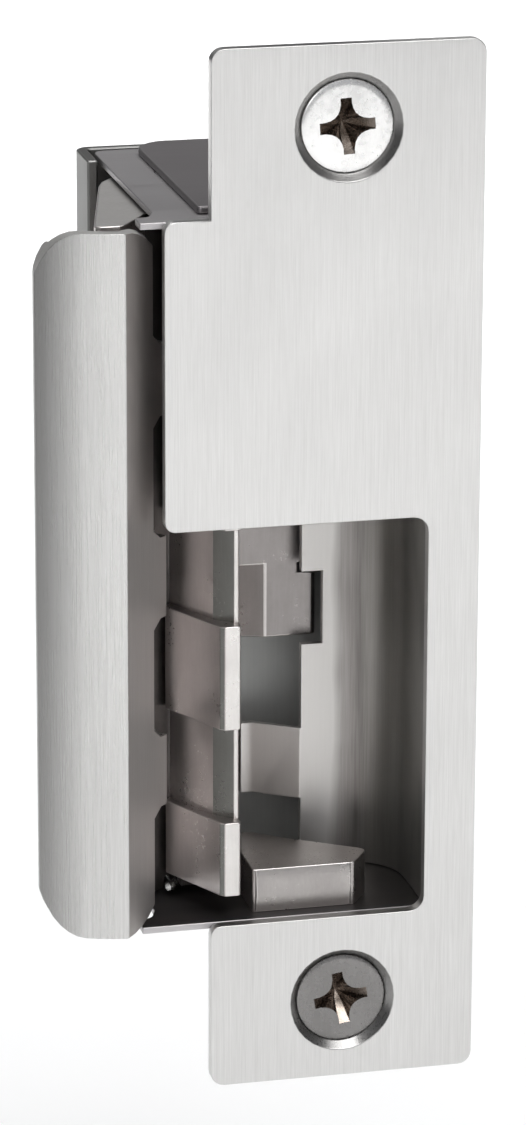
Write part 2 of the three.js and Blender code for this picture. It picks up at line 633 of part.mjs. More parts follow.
function rearConnector() {
  const { x0, x1, z0, z1, front, back, pinX, pinZ } = CONNECTOR;
  const wall = 1.0;
  const lip = box(x0 - 0.9, x1 + 0.9, CASE.depth - BACK.thick - 1.2, CASE.depth - BACK.thick - 0.1,
    z0 - 0.9, z1 + 0.9);
  const body = join(box(x0, x1, front, back, z0, z1), lip);
  const cavity = box(x0 + wall, x1 - wall, front + 2, back + 1, z0 + wall, z1 - wall);
  const pins = pinX.map((x) => box(x - 0.4, x + 0.4, front - 1, front + 3, pinZ - 0.4, pinZ + 0.4));
  return cut(body, cavity, ...pins);
}

function connectorPin(x) {
  const { front, back, pinZ } = CONNECTOR;
  return box(x - 0.35, x + 0.35, front - 0.8, back - 1.2, pinZ - 0.35, pinZ + 0.35);
}

place('rear_connector', rearConnector(), plastic);
place('connector_pin_left', connectorPin(CONNECTOR.pinX[0]), bronze);
place('connector_pin_right', connectorPin(CONNECTOR.pinX[1]), bronze);

export default object;
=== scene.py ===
"""Looks for the electric door strike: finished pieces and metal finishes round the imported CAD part.

Metres. +X right and +Z up as seen from the front, +Y into the door frame. Helper lengths in MM.
"""

import json
import math

import bmesh
import bpy
from mathutils import Matrix, Vector


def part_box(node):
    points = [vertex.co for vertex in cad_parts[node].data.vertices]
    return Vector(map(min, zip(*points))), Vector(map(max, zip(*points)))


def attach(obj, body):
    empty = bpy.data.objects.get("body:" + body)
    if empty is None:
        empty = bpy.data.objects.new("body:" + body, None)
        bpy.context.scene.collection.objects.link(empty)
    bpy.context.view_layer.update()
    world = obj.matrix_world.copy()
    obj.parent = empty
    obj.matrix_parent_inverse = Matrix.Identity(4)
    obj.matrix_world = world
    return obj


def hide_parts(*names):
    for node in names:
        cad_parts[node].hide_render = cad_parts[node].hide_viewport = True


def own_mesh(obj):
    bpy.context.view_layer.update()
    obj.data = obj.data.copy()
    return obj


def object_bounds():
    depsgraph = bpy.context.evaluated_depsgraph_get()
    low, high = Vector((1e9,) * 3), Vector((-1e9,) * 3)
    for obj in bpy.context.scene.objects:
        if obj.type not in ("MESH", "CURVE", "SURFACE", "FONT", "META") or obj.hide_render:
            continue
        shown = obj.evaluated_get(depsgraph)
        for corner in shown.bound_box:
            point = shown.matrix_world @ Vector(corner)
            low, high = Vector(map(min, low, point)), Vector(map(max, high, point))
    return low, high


MM = 0.001
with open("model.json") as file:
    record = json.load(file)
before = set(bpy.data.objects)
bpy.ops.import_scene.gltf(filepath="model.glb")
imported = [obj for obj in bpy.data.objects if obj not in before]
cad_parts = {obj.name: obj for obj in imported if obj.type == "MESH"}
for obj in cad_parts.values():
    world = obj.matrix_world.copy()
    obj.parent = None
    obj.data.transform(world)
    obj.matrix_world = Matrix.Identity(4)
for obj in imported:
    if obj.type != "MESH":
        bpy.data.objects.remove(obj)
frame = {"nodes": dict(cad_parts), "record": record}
cad_low, cad_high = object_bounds()
scene = bpy.context.scene
body_of = {n: b for b, ns in frame["record"]["behaviour"]["bodies"].items() for n in ns}
slot_of = {p["node"]: p["material_slot"] for p in frame["record"]["subparts"]}

PLATE_FRONT = -1.5  # the faceplate's front in Y, mm
# A fixing screw in mm: "cone" is its half angle in degrees, "fixing" its height above or below the middle.
HEAD = {"radius": 5.35, "sunk": 0.7, "shank": 2.72, "core": 2.3, "length": 15.8, "cone": 41, "fixing": 52.4}
SEAT_REACH = 8  # mm from a fixing screw's centre, farther out than its countersunk seat

# ---- shader helpers -------------------------------------------------------------------------


def ranged(tree, value, stops):
    """Adds a node that maps a value between two (in, out) stops, and returns its result."""
    node = tree.nodes.new("ShaderNodeMapRange")
    (x0, y0), (x1, y1) = stops
    for key, number in (("From Min", x0), ("From Max", x1), ("To Min", y0), ("To Max", y1)):
        node.inputs[key].default_value = number
    tree.links.new(value, node.inputs["Value"])
    return node.outputs["Result"]


def coordinate(tree, vector, axis):
    """Adds a node that splits a vector, and returns one axis of it."""
    node = tree.nodes.new("ShaderNodeSeparateXYZ")
    tree.links.new(vector, node.inputs["Vector"])
    return node.outputs[axis]


class Graph:
    """A small material graph: apart from put, every method adds nodes and returns the last one's output."""

    COLOR_A, COLOR_B, COLOR_RESULT = 6, 7, 2  # sockets of the mix node, which share their names

    def __init__(self, name):
        self.material = bpy.data.materials.new(name)
        self.material.use_nodes = True
        self.tree = self.material.node_tree
        self.nodes = self.tree.nodes
        self.links = self.tree.links
        self.shader = self.nodes["Principled BSDF"]

    def put(self, value, socket):
        """Links a socket's value to an input, or sets the input to a constant."""
        if isinstance(value, bpy.types.NodeSocket):
            self.links.new(value, socket)
        else:
            socket.default_value = value

    def place(self, scale, rotation=(0, 0, 0)):
        """The object's own coordinates in metres, scaled and turned."""
        coordinates = self.nodes.new("ShaderNodeTexCoord")
        mapping = self.nodes.new("ShaderNodeMapping")
        mapping.inputs["Scale"].default_value = scale
        mapping.inputs["Rotation"].default_value = [math.radians(a) for a in rotation]
        self.links.new(coordinates.outputs["Object"], mapping.inputs["Vector"])
        return mapping.outputs["Vector"]

    def across(self):
        """The object's own X in metres."""
        return coordinate(self.tree, self.place((1, 1, 1)), "X")

    def noise(self, scale, detail, roughness, rotation=(0, 0, 0)):
        node = self.nodes.new("ShaderNodeTexNoise")
        node.inputs["Scale"].default_value = 1.0
        node.inputs["Detail"].default_value = detail
        node.inputs["Roughness"].default_value = roughness
        self.links.new(self.place(scale, rotation), node.inputs["Vector"])
        return node.outputs["Fac"]

    def ramp(self, value, stops):
        return ranged(self.tree, value, stops)

    def math(self, how, a, b):
        node = self.nodes.new("ShaderNodeMath")
        node.operation = how
        self.put(a, node.inputs[0])
        self.put(b, node.inputs[1])
        return node.outputs[0]

    def mix(self, fac, a, b):
        node = self.nodes.new("ShaderNodeMix")
        node.data_type = "RGBA"
        self.put(fac, node.inputs[0])
        for value, index in ((a, self.COLOR_A), (b, self.COLOR_B)):
            color = value if isinstance(value, bpy.types.NodeSocket) else (*value, 1)
            self.put(color, node.inputs[index])
        return node.outputs[self.COLOR_RESULT]

    def edge(self):
        """1 on the faces that break_edges made and 0 elsewhere."""
        node = self.nodes.new("ShaderNodeAttribute")
        node.attribute_name = "worn_edge"
        return node.outputs["Fac"]

    def bump(self, height, strength, depth):
        node = self.nodes.new("ShaderNodeBump")
        node.inputs["Strength"].default_value = strength
        node.inputs["Distance"].default_value = depth
        self.links.new(height, node.inputs["Height"])
        return node.outputs["Normal"]

    def along(self, axis):
        """The tangent that runs round an axis, for a grain along it."""
        node = self.nodes.new("ShaderNodeTangent")
        node.direction_type = "RADIAL"
        node.axis = axis
        return node.outputs["Tangent"]


def grain_scale(axis, fine, coarse):
    """Noise scale for a grain that runs along one axis: fine across it and coarse along it, per metre."""
    return tuple(coarse if a == axis else fine for a in "XYZ")


BARE = (0.93, 0.92, 0.9)  # steel that is rubbed bright
GRAIN_DEPTH = 0.04 * MM  # of the bump that a scratch or a grain makes
PIT_DEPTH = 0.03 * MM


def brushed(name, color, dark, rough, strength, wear, axis="Z", fine=5200, aniso=0, tilt=(0, 0, 0),
            vary=1.0, fade=None):
    """Brushed steel: long fine scratches, soft clouds and worn bright edges.

    vary scales how much the roughness changes. fade darkens it towards one side as painted shade: (start,
    end, share), with both places in mm of X and the share of the dark tone that is left at the start."""
    g = Graph(name)
    streak = g.noise(grain_scale(axis, fine, fine / 55), 3.0, 0.65, tilt)
    hair = g.noise(grain_scale(axis, fine * 2.7, fine / 20), 2.0, 0.6, tilt)
    cloud = g.noise((70, 70, 45), 3.0, 0.55)
    both = g.math("ADD", g.math("MULTIPLY", streak, 0.65), g.math("MULTIPLY", hair, 0.35))
    tone = g.mix(g.ramp(both, ((0.34, 0.0), (0.66, 1.0))), dark, color)
    tone = g.mix(g.ramp(cloud, ((0.3, 0.0), (0.7, 0.16))), tone, [c * 0.86 for c in color])
    tone = g.mix(g.math("MULTIPLY", g.edge(), wear), tone, BARE)
    # Painted shade: the tone darkens towards one side in X.
    if fade:
        start, end, share = fade
        painted_shade_amount = g.ramp(g.across(), ((start * MM, 1.0), (end * MM, 0.0)))
        tone = g.mix(painted_shade_amount, tone, [c * share for c in dark])
    g.put(tone, g.shader.inputs["Base Color"])
    g.shader.inputs["Metallic"].default_value = 1.0
    scratch = g.ramp(both, ((0.3, -0.05 * vary), (0.7, 0.07 * vary)))
    base = g.math("ADD", scratch, g.ramp(cloud, ((0.3, -0.03 * vary), (0.7, 0.03 * vary))))
    g.put(g.math("ADD", base, rough), g.shader.inputs["Roughness"])
    if aniso:
        g.shader.inputs["Anisotropic"].default_value = aniso
        g.put(g.along(axis), g.shader.inputs["Tangent"])
    g.put(g.bump(both, strength, GRAIN_DEPTH), g.shader.inputs["Normal"])
    return g.material


def dull_sheet(name, color, dark):
    """Sheet with a dull coat or a fine blasted surface, which scatters most of its light."""
    g = Graph(name)
    cloud = g.noise((260, 260, 140), 3.0, 0.6)
    grain = g.noise(grain_scale("Z", 2600, 60), 3.0, 0.6)
    tone = g.mix(g.ramp(cloud, ((0.3, 0.0), (0.7, 1.0))), dark, color)
    tone = g.mix(g.ramp(grain, ((0.35, 0.0), (0.65, 0.12))), tone, [c * 1.3 for c in color])
    g.put(g.mix(g.math("MULTIPLY", g.edge(), 0.3), tone, (0.7, 0.7, 0.68)), g.shader.inputs["Base Color"])
    g.shader.inputs["Metallic"].default_value = 0.35
    g.put(g.ramp(cloud, ((0.3, 0.50), (0.7, 0.60))), g.shader.inputs["Roughness"])
    g.put(g.bump(grain, 0.02, GRAIN_DEPTH), g.shader.inputs["Normal"])
    return g.material


def painted_light_sheet(name, bands, rough):
    """Satin sheet with painted reflection and painted shade: soft bands of tone across X; each band is its
    place in mm and its colour.
    """
    g = Graph(name)
    grain = g.noise(grain_scale("Z", 5200, 95), 3.0, 0.6)
    cloud = g.noise((120, 120, 60), 2.0, 0.5)
    place = g.math("ADD", g.across(), g.ramp(cloud, ((0.3, -0.5 * MM), (0.7, 0.5 * MM))))
    tone = bands[0][1]
    # Painted reflection and painted shade: the tone steps from one colour to the next across X.
    for (start, _), (end, color) in zip(bands, bands[1:]):
        tone = g.mix(g.ramp(place, ((start * MM, 0.0), (end * MM, 1.0))), tone, color)
    tone = g.mix(g.ramp(grain, ((0.35, 0.0), (0.65, 0.10))), tone, (0.75, 0.73, 0.71))
    tone = g.mix(g.math("MULTIPLY", g.edge(), 0.1), tone, BARE)
    g.put(tone, g.shader.inputs["Base Color"])
    g.shader.inputs["Metallic"].default_value = 1.0
    g.put(g.ramp(cloud, ((0.3, rough - 0.03), (0.7, rough + 0.03))), g.shader.inputs["Roughness"])
    g.put(g.bump(grain, 0.01, GRAIN_DEPTH), g.shader.inputs["Normal"])
    return g.material


def cast(name, color, dark, rough, size=2600, strength=0.05, wear=0.4):
    """Fine investment-cast or tumbled steel: faint pits, soft blotches and rubbed edges."""
    g = Graph(name)
    pits = g.noise((size,) * 3, 2.0, 0.5)
    blotch = g.noise((230, 230, 120), 3.0, 0.55)
    rub = g.noise((3800, 3800, 260), 2.0, 0.55)
    tone = g.mix(g.ramp(blotch, ((0.32, 0.0), (0.68, 1.0))), dark, color)
    tone = g.mix(g.ramp(pits, ((0.3, 0.04), (0.6, 0.0))), tone, [c * 0.6 for c in dark])
    tone = g.mix(g.ramp(rub, ((0.45, 0.0), (0.75, 0.14))), tone, [min(1.0, c * 1.25) for c in color])
    tone = g.mix(g.math("MULTIPLY", g.edge(), wear), tone, (0.82, 0.79, 0.77))
    g.put(tone, g.shader.inputs["Base Color"])
    g.shader.inputs["Metallic"].default_value = 1.0
    blotch_rough = g.ramp(blotch, ((0.3, 0.04), (0.7, -0.03)))
    pits_rough = g.ramp(pits, ((0.3, 0.05), (0.7, -0.03)))
    g.put(g.math("ADD", g.math("ADD", blotch_rough, pits_rough), rough), g.shader.inputs["Roughness"])
    if strength:
        g.put(g.bump(pits, strength, PIT_DEPTH), g.shader.inputs["Normal"])
    return g.material


def winding(name):
    """Enamelled copper: warm clear coat over slightly uneven copper."""
    g = Graph(name)
    shade = g.noise((1500, 1500, 400), 3.0, 0.6)
    g.put(g.mix(shade, (0.30, 0.075, 0.025), (0.60, 0.22, 0.08)), g.shader.inputs["Base Color"])
    g.shader.inputs["Metallic"].default_value = 0.85
    g.put(g.ramp(shade, ((0.3, 0.24), (0.7, 0.38))), g.shader.inputs["Roughness"])
    g.shader.inputs["Coat Weight"].default_value = 0.6
    g.put(g.bump(shade, 0.1, PIT_DEPTH), g.shader.inputs["Normal"])
    return g.material


def moulded(name):
    """Black glass-filled nylon with a fine spark-eroded texture and paler edges."""
    g = Graph(name)
    grain = g.noise((7000,) * 3, 3.0, 0.6)
    cloud = g.noise((350,) * 3, 2.0, 0.5)
    tone = g.mix(g.ramp(cloud, ((0.3, 0.0), (0.7, 1.0))), (0.018, 0.018, 0.02), (0.045, 0.045, 0.048))
    tone = g.mix(g.math("MULTIPLY", g.edge(), 0.4), tone, (0.12, 0.12, 0.125))
    g.put(tone, g.shader.inputs["Base Color"])
    g.put(g.ramp(grain, ((0.3, 0.42), (0.7, 0.62))), g.shader.inputs["Roughness"])
    g.put(g.bump(grain, 0.25, GRAIN_DEPTH), g.shader.inputs["Normal"])
    return g.material


FINISH = {
    "plate": brushed("plate_satin", (0.68, 0.675, 0.665), (0.565, 0.56, 0.55), 0.34, strength=0.13,
                     wear=0.0, aniso=0.55),
    # The lip's tone darkens towards its curved left edge as painted shade.
    "lip": brushed("lip_satin_painted_shade", (0.63, 0.625, 0.615), (0.51, 0.505, 0.495), 0.27, strength=0.14, wear=0.05,
                   fine=4200, aniso=0.3, tilt=(0, 6, 0), fade=(-35.4, -30.5, 0.52)),
    "seat": brushed("countersunk_seat", (0.34, 0.335, 0.33), (0.27, 0.265, 0.26), 0.30, strength=0.03,
                    wear=0.1),
    # Painted shade: a darker, duller copy of the lip's steel for its end faces.
    "lip_end": dull_sheet("lip_end_painted_shade", (0.37, 0.365, 0.355), (0.32, 0.315, 0.305)),
    # Painted reflection: a darker, browner copy of the lip's satin for its ramp, which faces the dark
    # keeper parts.
    "ramp": brushed("ramp_painted_reflection", (0.46, 0.433, 0.42), (0.41, 0.384, 0.37), 0.42, strength=0.06, wear=0.1,
                    fine=4200, vary=0.5),
    "mill": brushed("mill_sheet", (0.50, 0.485, 0.49), (0.455, 0.44, 0.445), 0.42, strength=0.04, wear=0.02,
                    axis="X", fine=1500, vary=0.6),
    "cover": brushed("cover_sheet", (0.272, 0.258, 0.263), (0.237, 0.223, 0.228), 0.45, strength=0.02,
                     wear=0.05, axis="X", fine=2600, vary=0.4),
    "back": brushed("back_sheet", (0.21, 0.21, 0.203), (0.185, 0.185, 0.18), 0.42, strength=0.04, wear=0.1,
                    fine=1500, vary=0.6),
    "deep": dull_sheet("carrier_sheet", (0.50, 0.505, 0.49), (0.44, 0.445, 0.43)),
    # The liner's tones across X are painted reflection and painted shade: bright, brown, dark, grey, then
    # dark at the right corner.
    "liner": painted_light_sheet("liner_painted_light", [(2.6, (0.63, 0.613, 0.595)), (3.8, (0.30, 0.283, 0.272)),
                                          (6.0, (0.17, 0.158, 0.15)), (7.6, (0.34, 0.33, 0.31)),
                                          (10.2, (0.36, 0.358, 0.34)), (11.0, (0.15, 0.15, 0.143))], 0.42),
    # Painted shade: a near-black copy of the frame's sheet for the floor deep in the pocket.
    "floor": brushed("pocket_floor_painted_shade", (0.16, 0.152, 0.15), (0.12, 0.113, 0.112), 0.40, strength=0.04,
                     wear=0.25, axis="X", fine=1500),
    "cast": cast("cast_steel", (0.595, 0.555, 0.54), (0.545, 0.507, 0.492), 0.31, strength=0),
    # Painted shade: a near-black copy of the cast steel for the core's faces seen in the lip's notches.
    "notch_shade": cast("notch_shade_cast", (0.13, 0.12, 0.115), (0.09, 0.083, 0.08), 0.40, strength=0.03,
                     wear=0.0),
    # Painted shade: a dark copy of the cast steel for the core's slanted facets.
    "facet": cast("facet_painted_shade", (0.215, 0.216, 0.204), (0.19, 0.191, 0.18), 0.30, strength=0),
    # Painted highlight: a paler copy of the cast steel for the core's front faces.
    "rubbed": cast("front_painted_highlight_cast", (0.70, 0.68, 0.66), (0.62, 0.60, 0.58), 0.30, strength=0),
    "cut_end": cast("machined_end", (0.44, 0.43, 0.42), (0.40, 0.39, 0.38), 0.55),
    # The lever's broken edges are painted bright: partly wear and partly painted highlight.
    "lever": cast("lever_cast", (0.29, 0.271, 0.264), (0.257, 0.24, 0.233), 0.30, strength=0, wear=0.5),
    "block": cast("guide_block_cast", (0.50, 0.468, 0.45), (0.45, 0.42, 0.402), 0.30, strength=0),
    # Painted shade: a darker copy of the guide block's cast for its front faces.
    "block_front": cast("guide_block_front_painted_shade", (0.40, 0.38, 0.368), (0.35, 0.33, 0.32), 0.30, strength=0),
    "zinc": cast("zinc_plate", (0.72, 0.72, 0.70), (0.60, 0.605, 0.60), 0.30, size=1800),
    "screw": cast("screw_steel", (0.80, 0.795, 0.788), (0.68, 0.675, 0.665), 0.24, size=1500),
    # Painted shade: a darker copy of the screw steel for the lower head, which faces darker surroundings.
    "screw_painted_shade": cast("screw_steel_painted_shade", (0.235, 0.229, 0.224), (0.20, 0.194, 0.189), 0.26, size=1500,
                       wear=0.9),
    # Painted shade: a dark brown tone for the walls of the cross recess.
    "recess": cast("recess_painted_shade", (0.34, 0.295, 0.26), (0.19, 0.16, 0.138), 0.24, size=2400,
                   strength=0.2),
    "bronze": cast("sintered_bronze", (0.62, 0.42, 0.18), (0.45, 0.30, 0.12), 0.38, size=4200),
    "spring": brushed("spring_wire", (0.72, 0.72, 0.71), (0.58, 0.58, 0.57), 0.22, strength=0.04, wear=0.2,
                      fine=2000),
    "copper": winding("enamelled_copper"),
    "plastic": moulded("moulded_nylon"),
}

SLOT_FINISH = {
    "satin_steel": "plate", "fixing_screw": "screw", "mill_steel": "mill", "cast_steel": "cast",
    "liner_steel": "liner", "zinc_steel": "zinc", "bronze": "bronze", "copper_wire": "copper",
    "spring_steel": "spring", "black_plastic": "plastic",
}
NODE_FINISH = {
    "keeper_lip": "lip", "case_cover": "cover", "case_back": "back", "lock_lever": "lever",
    "latch_guide_block": "block", "mechanism_plate": "deep",
}


def by_fixing(at):
    """Whether a place in mm is round one of the two fixing screws."""
    return math.hypot(at.x, abs(at.z) - HEAD["fixing"]) < SEAT_REACH


# Other finishes on some faces of a node, several of them painted light or painted shade. Each test takes a
# face's middle in mm and its normal, and the first one that holds names the finish.
EXTRA_FINISH = {
    "faceplate": [("seat", lambda at, way: -0.92 < way.y < -0.3 and by_fixing(at))],
    "keeper_core": [
        # Painted highlight on the core's front faces near the plate.
        ("rubbed", lambda at, way: way.y < -0.95 and at.y < 2.4),
        ("cut_end", lambda at, way: abs(way.z) > 0.95 and abs(at.z) > 40),
        # Painted shade on the core's faces deep in the lip's notches.
        ("notch_shade", lambda at, way: way.y < -0.7 and at.y > 9.5),
        # Painted shade on the core's slanted facets near the plate.
        ("facet", lambda at, way: -0.8 < way.y < -0.6 and -0.8 < way.x < -0.6 and at.y < 5),
    ],
    "keeper_lip": [
        # Painted reflection of the dark keeper parts on the lip's ramp.
        ("ramp", lambda at, way: way.x > 0.6 and way.y < -0.5),
        # Painted shade on the lip's end faces.
        ("lip_end", lambda at, way: at.x < -23 and abs(way.y) < 0.6 and abs(way.z) > 0.25),
    ],
    # Painted shade on the floor deep in the pocket.
    "case_frame": [("floor", lambda at, way: way.z > 0.9 and at.z < -41)],
    # Painted shade on the guide block's front faces.
    "latch_guide_block": [("block_front", lambda at, way: way.y < -0.8)],
}

# ---- mesh helpers ---------------------------------------------------------------------------

# Angles in degrees.
SHARP_ANGLE = 32.0  # outward edges sharper than this are broken
SMOOTH_ANGLE = 20.0  # flatter edges than this shade smoothly
ROUND_ANGLE = 50.0  # the same for broken edges and round wires
FLAT_ANGLE = 0.8  # flatter facets than this become one face
MERGE = 0.002  # mm; corners nearer than this become one


def break_edges(bm, width, sharp):
    """Rounds every outward edge sharper than the given angle, and notes the new faces as rubbed."""
    layer = bm.faces.layers.float.new("worn_edge")
    bm.normal_update()
    found = [e for e in bm.edges if len(e.link_faces) == 2 and e.is_convex
             and math.degrees(e.calc_face_angle(0.0)) > sharp]
    if width and found:
        made = bmesh.ops.bevel(bm, geom=found, offset=width * MM, offset_type="OFFSET", segments=2,
                               profile=0.5, affect="EDGES", clamp_overlap=False)
        for face in made["faces"]:
            face[layer] = 1.0


def finish_mesh(bm, name, smooth):
    """Turns a bmesh into an object that shades smoothly up to an angle, and over broken edges."""
    bm.normal_update()
    layer = bm.faces.layers.float.get("worn_edge")
    for face in bm.faces:
        face.smooth = True
    for edge in bm.edges:
        broken = layer is not None and any(f[layer] > 0.5 for f in edge.link_faces)
        limit = ROUND_ANGLE if broken else smooth
        edge.smooth = len(edge.link_faces) == 2 and math.degrees(edge.calc_face_angle(0.0)) < limit
    mesh = bpy.data.meshes.new(name)
    bm.to_mesh(mesh)
    bm.free()
    piece = bpy.data.objects.new(name, mesh)
    scene.collection.objects.link(piece)
    weighted = piece.modifiers.new("even normals", "WEIGHTED_NORMAL")
    weighted.keep_sharp = True
    return piece


def dress(piece, body, slot, finish, *nodes):
    """Puts a piece under its body, hides its CAD nodes, and gives it the finish if it has none yet; slot is
    not used.
    """
    if not piece.data.materials:
        piece.data.materials.append(FINISH[finish])
    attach(piece, body)
    if nodes:
        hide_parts(*nodes)
    return piece


def refined(node, width, sharp=SHARP_ANGLE, smooth=SMOOTH_ANGLE):
    """A finished copy of a CAD node: clean faces, edges broken by width in mm, even shading."""
    bm = bmesh.new()
    bm.from_mesh(frame["nodes"][node].data)
    bmesh.ops.remove_doubles(bm, verts=bm.verts, dist=MERGE * MM)
    bmesh.ops.dissolve_limit(bm, angle_limit=math.radians(FLAT_ANGLE), verts=bm.verts, edges=bm.edges)
    break_edges(bm, width, sharp)
    bm.normal_update()
    extra = EXTRA_FINISH.get(node, [])
    for face in bm.faces:
        at = face.calc_center_median() / MM
        holds = (i for i, (_, test) in enumerate(extra, 1) if test(at, face.normal))
        face.material_index = next(holds, 0)
    piece = finish_mesh(bm, f"{node}_finished", smooth)
    finish = NODE_FINISH.get(node, SLOT_FINISH[slot_of[node]])
    for name in [finish, *(name for name, _ in extra)]:
        piece.data.materials.append(FINISH[name])
    return dress(piece, body_of[node], slot_of[node], finish, node)


def tube(name, points, radius, sides):
    """A round wire through points in mm, with flat ends and a frame that doesn't twist."""
    bm = bmesh.new()
    path = [Vector(p) * MM for p in points]
    rings = []
    side = None
    for i, point in enumerate(path):
        ahead = (path[min(i + 1, len(path) - 1)] - path[max(i - 1, 0)]).normalized()
        if side is None:
            side = ahead.orthogonal().normalized()
        side = (side - ahead * side.dot(ahead)).normalized()
        other = ahead.cross(side)
        ring = [bm.verts.new(point + (side * math.cos(a) + other * math.sin(a)) * radius * MM)
                for a in (2 * math.pi * k / sides for k in range(sides))]
        rings.append(ring)
    for a, b in zip(rings, rings[1:]):
        for k in range(sides):
            bm.faces.new((a[k], a[(k + 1) % sides], b[(k + 1) % sides], b[k]))
    bm.faces.new(list(reversed(rings[0])))
    bm.faces.new(rings[-1])
    bmesh.ops.recalc_face_normals(bm, faces=bm.faces)
    return finish_mesh(bm, name, ROUND_ANGLE)


def curve_through(points, steps):
    """Smooth points through the given corners, by Catmull-Rom, in mm."""
    out = []
    p = [Vector(q) for q in points]
    for i in range(len(p) - 1):
        a, b, c, d = p[max(i - 1, 0)], p[i], p[i + 1], p[min(i + 2, len(p) - 1)]
        for k in range(steps):
            t = k / steps
            out.append(0.5 * ((2 * b) + (c - a) * t + (2 * a - 5 * b + 4 * c - d) * t * t
                              + (3 * b - a - 3 * c + d) * t ** 3))
    out.append(p[-1])
    return out


def helix(x, y, radius, start, end, z0, z1, per_turn):
    """Points round a vertical axis from one angle to another, in degrees, in mm."""
    count = max(2, round(abs(end - start) / 360 * per_turn))
    return [Vector((x + radius * math.cos(math.radians(start + (end - start) * k / count)),
                    y + radius * math.sin(math.radians(start + (end - start) * k / count)),
                    z0 + (z1 - z0) * k / count)) for k in range(count + 1)]


def lathe_bm(profile, segments):
    """A closed solid turned about Z from (radius, height) points in mm that begin and end on the axis."""
    bm = bmesh.new()
    rings = []
    for radius, height in profile:
        if radius == 0:
            rings.append([bm.verts.new((0, 0, height * MM))])
        else:
            angles = [2 * math.pi * k / segments for k in range(segments)]
            rings.append([bm.verts.new((radius * MM * math.cos(a), radius * MM * math.sin(a), height * MM))
                          for a in angles])
    for a, b in zip(rings, rings[1:]):
        for k in range(segments):
            ring = [a[k % len(a)], a[(k + 1) % len(a)], b[(k + 1) % len(b)], b[k % len(b)]]
            unique = list(dict.fromkeys(ring))
            if len(unique) > 2:
                bm.faces.new(unique)
    bmesh.ops.recalc_face_normals(bm, faces=bm.faces)
    return bm


def carved(solid, cutter):
    """Cuts one solid out of another and returns the result as a new bmesh."""
    def as_object(source, name):
        mesh = bpy.data.meshes.new(name)
        source.to_mesh(mesh)
        source.free()
        made = bpy.data.objects.new(name, mesh)
        scene.collection.objects.link(made)
        return made

    body = as_object(solid, "carve_body")
    tool = as_object(cutter, "carve_tool")
    cut = body.modifiers.new("cut", "BOOLEAN")
    cut.operation = "DIFFERENCE"
    cut.solver = "EXACT"
    cut.object = tool
    bpy.context.view_layer.update()
    result = bmesh.new()
    evaluated = body.evaluated_get(bpy.context.evaluated_depsgraph_get())
    result.from_mesh(evaluated.to_mesh())
    evaluated.to_mesh_clear()
    for item in (body, tool):
        bpy.data.objects.remove(item)
    return result


def cross_cutter(mouth, foot, tip):
    """A cutter for a cross recess: four arms with curved flanks, narrower at the foot, then a point.

    The mouth and the foot are (reach, half width, waist, height) in mm."""
    straight, steps = 0.8, 5

    def outline(reach, half, waist, height):
        points = []
        start = Vector((straight * reach, half))
        control = Vector((waist, waist))
        end = Vector((half, straight * reach))
        bend = [start * (1 - t) ** 2 + control * 2 * t * (1 - t) + end * t ** 2
                for t in (k / steps for k in range(steps + 1))]
        for quarter in range(4):
            turn = Matrix.Rotation(math.radians(90 * quarter), 2)
            points += [turn @ p for p in (Vector((reach, -half)), Vector((reach, half)), *bend)]
        return [bm.verts.new((p.x * MM, p.y * MM, height * MM)) for p in points]

    bm = bmesh.new()
    top, low = outline(*mouth), outline(*foot)
    point = bm.verts.new((0, 0, tip * MM))
    bm.faces.new(top)
    for k in range(len(top)):
        n = (k + 1) % len(top)
        bm.faces.new((low[k], low[n], top[n], top[k]))
        bm.faces.new((point, low[n], low[k]))
    bmesh.ops.recalc_face_normals(bm, faces=bm.faces)
    return bm


# ---- fixing screws --------------------------------------------------------------------------

RECESS = {"mouth": (3.75, 0.72, 0.95, 0.6), "foot": (1.15, 0.38, 0.35, -2.3), "tip": -3.0,
          "highest": -0.3, "lowest": -3.4, "reach": 3.2}


def in_recess(face):
    """Whether a face of an upright head is a wall of its cross recess: under the rim and facing in."""
    at = face.calc_center_median()
    outward = Vector((at.x, at.y, 0))
    return (RECESS["lowest"] * MM < at.z < RECESS["highest"] * MM and outward.length < RECESS["reach"] * MM
            and face.normal.dot(outward) <= 1e-7)


def fixing_screw(name, node, z, turn, finish):
    """Countersunk cross-recess screw: the head faces -Y, the thread runs into the door frame."""
    r, shank, core, length = HEAD["radius"], HEAD["shank"], HEAD["core"], HEAD["length"]
    cone = (r - shank) / math.tan(math.radians(HEAD["cone"]))
    head = lathe_bm([
        (0, 0.02), (2.2, 0.015), (4.6, 0.0), (r - 0.28, -0.03), (r - 0.07, -0.12), (r, -0.25),
        (shank, -cone - 0.2), (core, -cone - 0.9), (core, -length + 0.8), (1.9, -length), (0, -length),
    ], 96)
    bm = carved(head, cross_cutter(RECESS["mouth"], RECESS["foot"], RECESS["tip"]))
    # The recess walls take the second finish, the painted shade.
    for face in filter(in_recess, bm.faces):
        face.material_index = 1
    seat = Matrix.Translation((0, (PLATE_FRONT + HEAD["sunk"]) * MM, z * MM))
    lying = Matrix.Rotation(math.radians(90), 4, "X") @ Matrix.Rotation(math.radians(turn), 4, "Z")
    bmesh.ops.transform(bm, verts=bm.verts, matrix=seat @ lying)
    piece = finish_mesh(bm, f"{name}_head", 30)
    piece.data.materials.append(FINISH[finish])
    piece.data.materials.append(FINISH["recess"])
    dress(piece, "case", "fixing_screw", finish, node)
    threads(f"{name}_thread", z)


